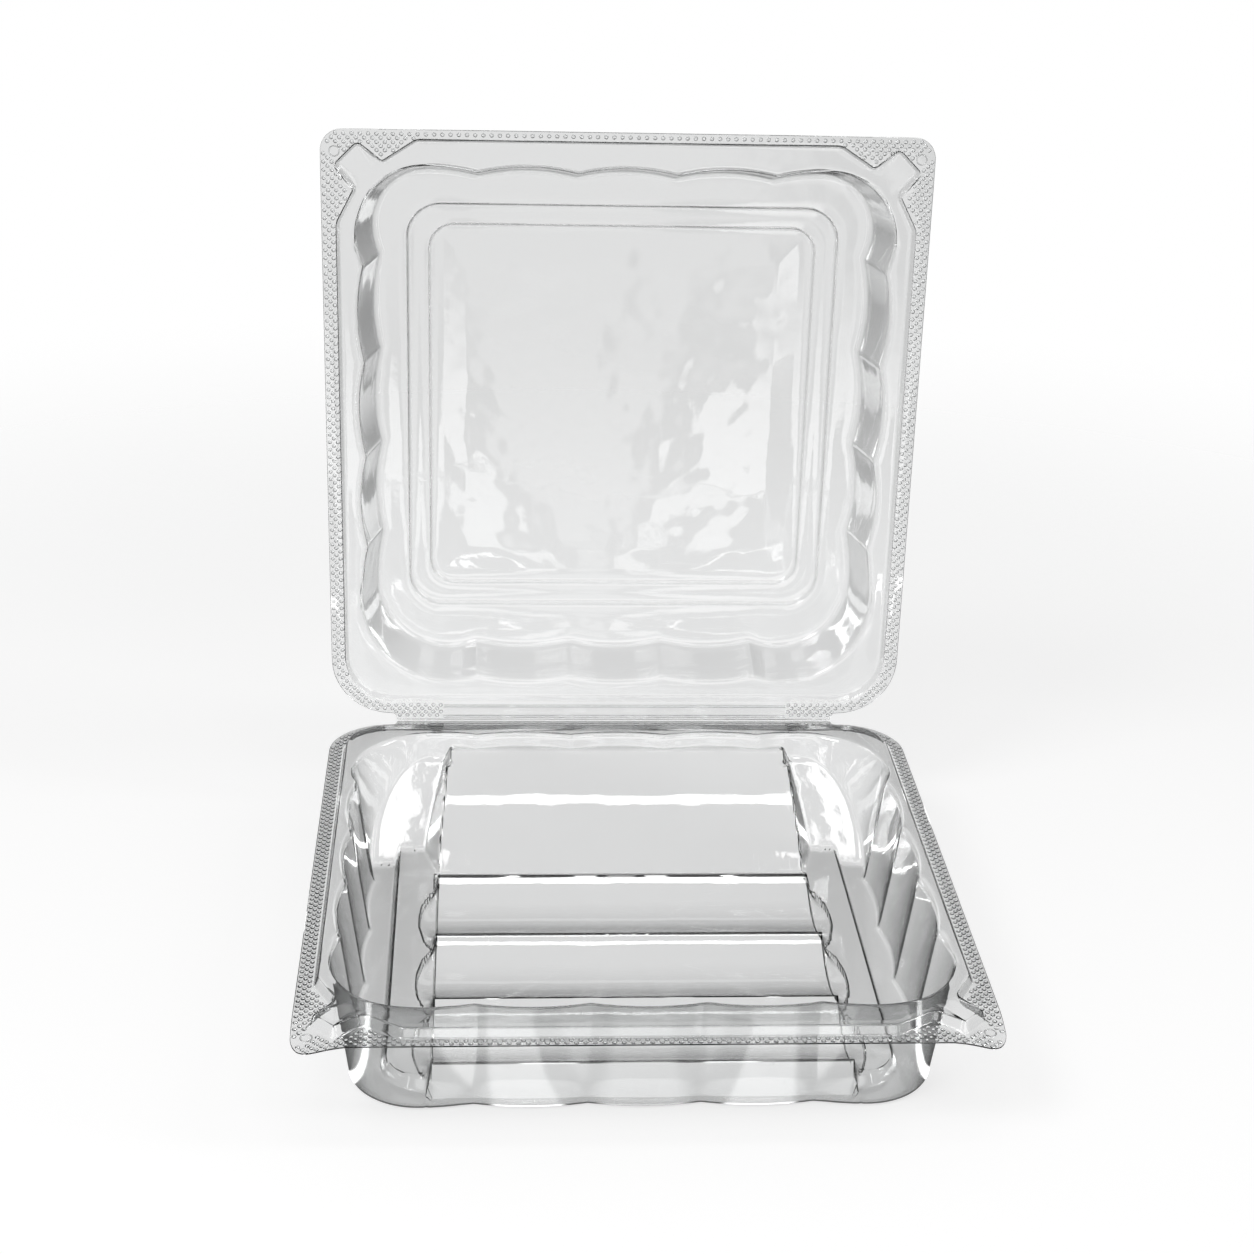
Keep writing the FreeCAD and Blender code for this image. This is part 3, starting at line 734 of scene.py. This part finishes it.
def face_outward(mesh):
    """Turns every face of a closed mesh outward, judged by the mesh's signed volume."""
    mesh.calc_loop_triangles()
    points = np.array([v.co for v in mesh.vertices])
    triangles = np.array([t.vertices for t in mesh.loop_triangles])
    a, b, c = (points[triangles[:, k]] for k in range(3))
    if (a * np.cross(b, c)).sum() < 0:
        mesh.flip_normals()
    mesh.update()


class Shade:
    """A socket of a node tree, so that shader maths reads as plain expressions."""

    def __init__(self, tree, socket):
        self.tree, self.socket = tree, socket

    def maths(self, operation, *values):
        return self.tree.node("ShaderNodeMath", {"operation": operation}, values)[0]

    def __add__(self, other):
        return self.maths("ADD", self, other)

    def __sub__(self, other):
        return self.maths("SUBTRACT", self, other)

    def __rsub__(self, other):
        return self.maths("SUBTRACT", other, self)

    def __mul__(self, other):
        return self.maths("MULTIPLY", self, other)

    __radd__, __rmul__ = __add__, __mul__

    def higher_of(self, other):
        return self.maths("MAXIMUM", self, other)

    def size(self):
        return self.maths("ABSOLUTE", self)

    def window(self, low, high, soft):
        """1 between low and high, falling to 0 over soft at each side."""
        return self.steps_to(low - soft, low) * (1 - self.steps_to(high, high + soft))

    def steps_to(self, low, high):
        """0 below low, 1 above high, and a smooth climb between."""
        return self.tree.node("ShaderNodeMapRange", {"interpolation_type": "SMOOTHSTEP"},
                              {"Value": self, "From Min": low, "From Max": high})[0]


def socket_of(node, name):
    """The input with that number, or the one in use among inputs that share a name."""
    if isinstance(name, int):
        return node.inputs[name]
    return next(socket for socket in node.inputs if socket.name == name and socket.enabled)


class Tree:
    """The node tree of a material, of the world or of a geometry group."""

    def __init__(self, tree):
        self.tree = tree
        tree.nodes.clear()

    def node(self, kind, settings=None, values=()):
        """Adds a node with its settings and its sockets' values or links; gives its outputs."""
        node = self.tree.nodes.new(kind)
        for name, value in (settings or {}).items():
            setattr(node, name, value)
        pairs = values.items() if isinstance(values, dict) else enumerate(values)
        for name, value in pairs:
            if isinstance(value, Shade):
                self.tree.links.new(value.socket, socket_of(node, name))
            elif isinstance(value, list):
                for one in value:
                    self.tree.links.new(one.socket, socket_of(node, name))
            else:
                socket_of(node, name).default_value = value
        return [Shade(self, socket) for socket in node.outputs]

    def named(self, kind):
        """Adds a node and gives its outputs by name."""
        return {output.socket.name: output for output in self.node(kind)}

    def mixed(self, factor, shader, other):
        return self.node("ShaderNodeMixShader", {}, (factor, shader, other))[0]


def nodes_of(owner):
    owner.use_nodes = True
    return Tree(owner.node_tree)


def grey(level):
    return level, level, level, 1


def clear_sheet():
    """Clear glossy plastic: faintly grey, darkened towards glancing views by painted shade, with the
    slight waves and scuffs of a formed sheet.
    """
    material = bpy.data.materials.new("clear_sheet")
    tree = nodes_of(material)
    place = tree.node("ShaderNodeTexCoord")[3]
    waves = tree.node("ShaderNodeTexNoise", {}, {"Vector": place, "Scale": 90.0, "Detail": 1.0})[0]
    fine = tree.node("ShaderNodeTexNoise", {}, {"Vector": place, "Scale": 420.0, "Detail": 1.5})[0]
    streaks = tree.node("ShaderNodeMapping", {}, {"Vector": place, "Rotation": (0.4, 0.7, 0.9),
                                                  "Scale": (1600.0, 30.0, 30.0)})[0]
    scuffs = tree.node("ShaderNodeTexNoise", {}, {
        "Vector": streaks, "Scale": 1.0, "Detail": 2.0})[0]
    height = waves * 1.0 + fine * 0.12 + scuffs.steps_to(0.68, 0.74) * 0.02
    bump = tree.node("ShaderNodeBump", {}, {
        "Strength": 0.35, "Distance": 0.0002, "Height": height})[0]
    haze = scuffs.steps_to(0.66, 0.74) * 0.10 + fine.steps_to(0.55, 0.75) * 0.03 + 0.02
    # Base colour: the sheet's own faint grey where it is seen face on, turning dark grey towards
    # glancing views. That darkening is painted shade for the dark lines along walls seen edge-on, on
    # top of the longer path through the sheet.
    slant = tree.node("ShaderNodeLayerWeight", {}, {"Blend": 0.5})[1]
    tint_and_glancing_shade = tree.node("ShaderNodeMix", {"data_type": "RGBA"}, {
        "Factor": slant.steps_to(0.20, 0.85), "A": (0.925, 0.93, 0.93, 1),
        "B": (0.32, 0.325, 0.325, 1)})
    shader = tree.node("ShaderNodeBsdfPrincipled", {}, {
        "Base Color": tint_and_glancing_shade[2], "Roughness": haze, "IOR": 1.57,
        "Transmission Weight": 1.0, "Normal": bump})[0]
    clear = tree.node("ShaderNodeBsdfTransparent", {}, {"Color": grey(0.89)})[0]
    path = tree.named("ShaderNodeLightPath")
    seen = tree.mixed(path["Is Diffuse Ray"], shader, clear)
    seen = tree.mixed(path["Is Shadow Ray"], seen, clear)
    tree.node("ShaderNodeOutputMaterial", {}, {"Surface": seen})
    return material


def place_camera():
    """The photograph's view: above and in front of the open pack, a little to its left."""
    position = Vector(CAMERA_PLACE) * PACK_WIDTH + Vector((0, HINGE_Y, TRAY_DEPTH))
    ahead = Vector((math.sin(YAW) * math.cos(PITCH), math.cos(YAW) * math.cos(PITCH),
                    -math.sin(PITCH)))
    level = Vector((math.cos(YAW), -math.sin(YAW), 0))
    above = level.cross(ahead)
    right = math.cos(ROLL) * level + math.sin(ROLL) * above
    up = -math.sin(ROLL) * level + math.cos(ROLL) * above
    data = bpy.data.cameras.new("camera")
    data.sensor_width = FILM_WIDTH
    data.lens = FOCAL_PIXELS / PHOTO_PIXELS * FILM_WIDTH
    data.clip_start, data.clip_end = 0.01, 50
    camera = add_object("camera", data)
    turn = Matrix((right, up, -ahead)).transposed().to_4x4()
    camera.matrix_world = Matrix.Translation(position * MM) @ turn
    bpy.context.scene.camera = camera


def area_light(name, place, target, width, height, watts):
    data = bpy.data.lights.new(name, "AREA")
    data.shape = "RECTANGLE"
    data.size, data.size_y, data.energy = width, height, watts
    lamp = add_object(name, data)
    lamp.location = place
    lamp.rotation_euler = (Vector(target) - Vector(place)).to_track_quat("-Z", "Y").to_euler()


def mirrored_room(x, y, z):
    """What the sheet mirrors in a direction: a dark room with white screens and a white horizon."""
    side = x.size()
    low = 1 - z.steps_to(0.30, 0.60)
    screens = side.window(0.25, 0.40, 0.03) * low * 2.2
    strips = side.window(0.72, 0.735, 0.015) * low * 7.0
    middle = (1 - side.steps_to(0.10, 0.16)) * (1 - z.steps_to(0.03, 0.15)) * 0.9
    front_screen = (0 - y).steps_to(0.80, 0.90) * z.window(0.12, 0.42, 0.08) * 3.0
    back_screen = y.steps_to(0.70, 0.76) * z.window(0.545, 0.62, 0.012)
    white = screens.higher_of(strips).higher_of(middle)
    return white.higher_of(front_screen).higher_of(back_screen) + 0.03


def studio():
    """Soft lamps over the pack in a white studio, whose dark side the glossy sheet mirrors."""
    world = bpy.data.worlds.new("studio")
    bpy.context.scene.world = world
    tree = nodes_of(world)
    path = tree.named("ShaderNodeLightPath")
    direction = tree.node("ShaderNodeTexCoord")[0]
    x, y, z = tree.node("ShaderNodeSeparateXYZ", {}, {"Vector": direction})
    through, room_level, dim_level = 1 - z.steps_to(0.05, 0.35) * 0.7, 0.8, 0.26
    mirrored, seen_through, dim, backdrop = (
        tree.node("ShaderNodeBackground", {}, {"Color": colour, "Strength": level})[0]
        for colour, level in ((mirrored_room(x, y, z), room_level), (through, room_level),
                              (grey(1.0), dim_level), (grey(1.0), 1.0)))
    room = tree.mixed(path["Glossy Depth"].steps_to(0, 1), seen_through, mirrored)
    room = tree.mixed(path["Is Camera Ray"], room, backdrop)
    room = tree.mixed(path["Is Diffuse Ray"], room, dim)
    tree.node("ShaderNodeOutputWorld", {}, {"Surface": room})

    area_light("key_light", (-1.6, -1.3, 2.4), (0, 0, 0.1), 1.0, 1.0, 40)
    area_light("side_light", (2.2, -0.4, 1.7), (0, 0, 0.1), 0.5, 1.6, 16)
    area_light("top_light", (0.0, -0.27, 1.45), (0, 0, 0.0), 0.8, 0.10, 1.7)
    area_light("left_pocket_light", (-0.26, -0.80, 1.20), (-0.08, 0.06, 0.02), 0.3, 0.3, 1.3)
    area_light("right_pocket_light", (0.43, -0.80, 1.20), (0.08, 0.06, 0.02), 0.3, 0.3, 1.3)


def floor():
    """A white floor that fades into the white backdrop and keeps the pack's soft shadow."""
    reach, low = 1.2, -0.0003
    corners = [(x * reach, y * reach, low) for x, y in ((-1, -1), (1, -1), (1, 1), (-1, 1))]
    obj = add_mesh("floor", corners, [(0, 1, 2, 3)])
    material = bpy.data.materials.new("floor_white")
    tree = nodes_of(material)
    path = tree.named("ShaderNodeLightPath")
    place = tree.node("ShaderNodeTexCoord")[3]
    distance = tree.node("ShaderNodeVectorMath", {"operation": "LENGTH"}, {"Vector": place})[1]
    outward = tree.node("ShaderNodeVectorMath", {"operation": "NORMALIZE"}, {"Vector": place})[0]
    x, y, z = tree.node("ShaderNodeSeparateXYZ", {}, {"Vector": outward})
    seen = path["Is Camera Ray"].higher_of(path["Is Transmission Ray"])
    matt = tree.node("ShaderNodeBsdfDiffuse", {}, {"Color": grey(0.80)})[0]
    glow = tree.node("ShaderNodeEmission", {}, {"Color": seen * 0.30})[0]
    lit = tree.node("ShaderNodeAddShader", {}, (matt, glow))[0]
    room = tree.node("ShaderNodeEmission", {}, {"Color": mirrored_room(x, y, z)})[0]
    lit = tree.mixed(path["Glossy Depth"].steps_to(0, 1) * 0.8, lit, room)
    gone = tree.node("ShaderNodeBsdfTransparent", {}, {"Color": grey(1.0)})[0]
    tree.node("ShaderNodeOutputMaterial", {}, {
        "Surface": tree.mixed(distance.steps_to(0.30, 0.80), lit, gone)})
    obj.data.materials.append(material)


def knurl_tree():
    """Small bosses in staggered rows wherever a row passes over the given band."""
    group = bpy.data.node_groups.new("knurl_rows", "GeometryNodeTree")
    sizes = {"Band": "Geometry", "Pitch": "Float", "Columns": "Int", "Rows": "Int",
             "Boss Radius": "Float", "Boss Height": "Float", "Middle": "Float", "Spot": "Vector",
             "Spot Radius": "Float", "Sheet": "Material"}
    for name, kind in sizes.items():
        group.interface.new_socket(name, in_out="INPUT", socket_type="NodeSocket" + kind)
    group.interface.new_socket("Knurl", in_out="OUTPUT", socket_type="NodeSocketGeometry")

    tree = Tree(group)
    given = tree.named("NodeGroupInput")
    pitch, radius = given["Pitch"], given["Boss Radius"]
    rows = tree.node("GeometryNodeMeshGrid", {}, {
        "Size X": (given["Columns"] - 1) * pitch, "Size Y": (given["Rows"] - 1) * pitch,
        "Vertices X": given["Columns"], "Vertices Y": given["Rows"]})[0]
    between = tree.node("ShaderNodeCombineXYZ", {}, (pitch * 0.5, pitch * 0.5))[0]
    staggered = tree.node("GeometryNodeTransform", {}, {
        "Geometry": rows, "Translation": between})[0]
    both = tree.node("GeometryNodeJoinGeometry", {}, {"Geometry": [rows, staggered]})[0]
    over = tree.node("ShaderNodeCombineXYZ", {}, {"Y": given["Middle"], "Z": 50.0})[0]
    lattice = tree.node("GeometryNodeTransform", {}, {"Geometry": both, "Translation": over})[0]
    is_hit, place = tree.node("GeometryNodeRaycast", {}, {"Target Geometry": given["Band"],
                                                          "Ray Length": 100.0})[:2]
    x, y, z = tree.node("ShaderNodeSeparateXYZ", {}, {"Vector": place})
    flat = tree.node("ShaderNodeCombineXYZ", {}, (x.size(), y))[0]
    from_spot = tree.node("ShaderNodeVectorMath", {"operation": "DISTANCE"},
                          (flat, given["Spot"]))[1]
    clear_of_spot = tree.node("FunctionNodeCompare", {"operation": "GREATER_THAN"},
                              (from_spot, given["Spot Radius"]))[0]
    kept = tree.node("FunctionNodeBooleanMath", {"operation": "AND"}, (is_hit, clear_of_spot))[0]
    spots = tree.node("GeometryNodeMeshToPoints", {}, {"Mesh": lattice, "Selection": kept,
                                                       "Position": place})[0]
    boss = tree.node("GeometryNodeMeshUVSphere", {}, {"Segments": 8, "Rings": 6, "Radius": 1.0})[0]
    boss = tree.node("GeometryNodeSetShadeSmooth", {}, {"Geometry": boss, "Shade Smooth": True})[0]
    size = tree.node("ShaderNodeCombineXYZ", {}, (radius, radius, given["Boss Height"]))[0]
    bosses = tree.node("GeometryNodeInstanceOnPoints", {}, {"Points": spots, "Instance": boss,
                                                            "Scale": size})[0]
    real = tree.node("GeometryNodeRealizeInstances", {}, {"Geometry": bosses})[0]
    finished = tree.node("GeometryNodeSetMaterial", {}, {
        "Geometry": real, "Material": given["Sheet"]})[0]
    tree.node("NodeGroupOutput", {}, (finished,))
    return group


def knurl(name, tree, grid, grow, height, place, material):
    """The bosses on the outer skin of a half's flange, between its edge and the raised rim."""
    edge, rim = offset(flange_loop(grid), -KNURL_MARGIN), offset(rim_loop(grid, grow), KNURL_MARGIN)
    points = np.concatenate([both_sides(with_height(outline, height(outline)))
                             for outline in (edge, rim)])
    strip = ring_quads(0, len(points) // 2, len(points) // 2)
    middle = points[strip].mean(axis=1)
    strip = strip[(np.abs(middle[:, 0]) > KNURL_PAD_END) | (middle[:, 1] > KNURL_PAD_REACH)]
    carrier = add_mesh(name + "_band", points.tolist(), strip.tolist())
    modifier = carrier.modifiers.new("rows", "NODES")
    modifier.node_group = tree
    sizes = {"Pitch": KNURL_PITCH, "Columns": KNURL_COLUMNS, "Rows": KNURL_ROWS,
             "Boss Radius": BOSS_RADIUS, "Boss Height": BOSS_HEIGHT,
             "Middle": REACH - KNURL_FRONT - (KNURL_ROWS - 1) / 2 * KNURL_PITCH,
             "Spot": (HALF_WIDTH - SPOT_PLACE[0], REACH - SPOT_PLACE[1], 0),
             "Spot Radius": SPOT_CLEAR, "Sheet": material}
    for socket in tree.interface.items_tree:
        if socket.in_out == "INPUT" and socket.name in sizes:
            modifier[socket.identifier] = sizes[socket.name]
    bpy.context.view_layer.update()
    evaluated = carrier.evaluated_get(bpy.context.evaluated_depsgraph_get())
    made = bpy.data.meshes.new_from_object(evaluated)
    corners = np.array([vertex.co[:] for vertex in made.vertices])
    faces = [tuple(face.vertices) for face in made.polygons]
    for mesh in (carrier.data, made):
        bpy.data.meshes.remove(mesh)
    return mesh_object(name, place(corners), faces, material)


def skin(sections, count, start=0, ring=False):
    """Faces between sections of count points each, in a row or in a ring."""
    faces = []
    for k in range(sections if ring else sections - 1):
        here, ahead = start + k * count, start + (k + 1) % sections * count
        faces += [(here + i, here + (i + 1) % count, ahead + (i + 1) % count, ahead + i)
                  for i in range(count)]
    return faces


def along_hinge(name, section, half_length, material):
    """A closed bar along the hinge line; its section is in (y, z) millimetres from that line."""
    across = np.linspace(-half_length, half_length, 161)
    count = len(section)
    points = np.array([(x, HINGE_Y + y, TRAY_DEPTH + HINGE_Z + z)
                       for x in across for y, z in section])
    faces = skin(len(across), count)
    last = len(points) - count
    for i in range(count // 2 - 1):
        cap = (i, count - 1 - i, count - 2 - i, i + 1)
        faces += [cap, tuple(last + corner for corner in cap[::-1])]
    return mesh_object(name, points * MM, faces, material)


def hinge_strip(material):
    """The bend of the one formed sheet between the two flanges, round the hinge line."""
    ring = unit_arc(np.radians(np.linspace(*STRIP_TURN, 15)))
    section = np.concatenate([ring * STRIP_RADIUS, ring[::-1] * (STRIP_RADIUS + STRIP_SHEET)])
    half_length = HALF_WIDTH - HINGE_CORNER - NECK_FILLET - STRIP_GAP
    return along_hinge("hinge_strip", section, half_length, material)


def hinge_beads(name, lines, height, direction, place, material):
    """Half-round beads formed along the hinge on the outer skin of a flange."""
    turn = np.linspace(0, math.pi, 9)
    across = np.linspace(-BEAD_END, BEAD_END, 126)
    points, faces = [], []
    for line in lines:
        start, count = len(points), len(turn)
        points += [(x, line + BEAD_RADIUS * math.cos(t),
                    height + direction * (BEAD_RADIUS * math.sin(t) - BEAD_SINK))
                   for x in across for t in turn]
        faces += skin(len(across), count, start)
        last = start + (len(across) - 1) * count
        faces += [tuple(range(start + count - 1, start - 1, -1)), tuple(range(last, last + count))]
    return mesh_object(name, place(np.array(points)), faces, material)


def hinge_buttons(material):
    """The two small blunt buttons formed under the tray's flange at the ends of the hinge."""
    shape = bmesh.new()
    (across, reach, drop), (width, depth, height) = BUTTON_PLACE, BUTTON_SIZE
    for side in (-1, 1):
        for vertex in bmesh.ops.create_cube(shape, size=1.0)["verts"]:
            x, v, z = vertex.co
            narrow = BUTTON_NARROW if z < 0 else 1.0
            vertex.co = (side * across + x * width * narrow, reach + v * depth * narrow,
                         -SHEET - drop + z * height)
    bmesh.ops.bevel(shape, geom=shape.edges[:], offset=BUTTON_BEVEL, segments=3, profile=0.5,
                    affect="EDGES")
    shape.verts.ensure_lookup_table()
    points = np.array([vertex.co[:] for vertex in shape.verts])
    faces = [tuple(vertex.index for vertex in face.verts) for face in shape.faces]
    shape.free()
    return mesh_object("hinge_buttons", tray_place(points), faces, material)


def formed_sheet(name, half, place, outward, material):
    """The closed sheet of a half, from its grid, its loops and the level of its middle."""
    points, faces = sheet_shell(*surface(*half), outward)
    return mesh_object(name, place(points), faces, material)


def spot_rings(name, height, place, material):
    """The thin ring round the smooth round spot in each front corner of the flange."""
    points, faces = [], []
    for side in (-1, 1):
        faces += skin(32, 8, len(points), ring=True)
        for turn in np.linspace(0, 2 * math.pi, 33)[:-1]:
            for tube in np.linspace(0, 2 * math.pi, 9)[:-1]:
                out = SPOT_RADIUS + SPOT_RING * math.cos(tube)
                points.append((side * (HALF_WIDTH - SPOT_PLACE[0]) + out * math.cos(turn),
                               REACH - SPOT_PLACE[1] + out * math.sin(turn),
                               height + SPOT_RING * math.sin(tube)))
    return mesh_object(name, place(np.array(points)), faces, material)


sheet_material, knurl_rows = clear_sheet(), knurl_tree()

half = tray_loops()
tray = formed_sheet("tray_shell", half, tray_place, -1, sheet_material)
tray_knurl = knurl("tray_knurl", knurl_rows, half[0], 0,
                   lambda outline: corner_droop(outline) - SHEET, tray_place, sheet_material)
spot_height = corner_droop(np.array([[HALF_WIDTH - SPOT_PLACE[0], REACH - SPOT_PLACE[1]]]))[0]
tray_spots = spot_rings("tray_spot_rings", spot_height - SHEET, tray_place, sheet_material)
tray_beads = hinge_beads("tray_hinge_beads", TRAY_BEADS, -SHEET, -1, tray_place, sheet_material)
buttons = hinge_buttons(sheet_material)
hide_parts("base_tray")
for piece in (tray, tray_knurl, tray_spots, tray_beads, buttons):
    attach(piece, "tray")

half, lid_skin = lid_loops(), CLOSED_GAP + SHEET
lid = formed_sheet("lid_shell", half, lid_place, 1, sheet_material)
lid_knurl = knurl("lid_knurl", knurl_rows, half[0], NEST_GAP, lambda outline: lid_skin, lid_place,
                  sheet_material)
lid_spots = spot_rings("lid_spot_rings", lid_skin, lid_place, sheet_material)
lid_beads = hinge_beads("lid_hinge_beads", LID_BEADS, lid_skin, 1, lid_place, sheet_material)
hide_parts("lid")
for piece in (lid, lid_knurl, lid_spots, lid_beads):
    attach(piece, "cover")

bend = hinge_strip(sheet_material)
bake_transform(bend)

place_camera()
studio()
floor()
bpy.context.scene.view_settings.view_transform = "Standard"
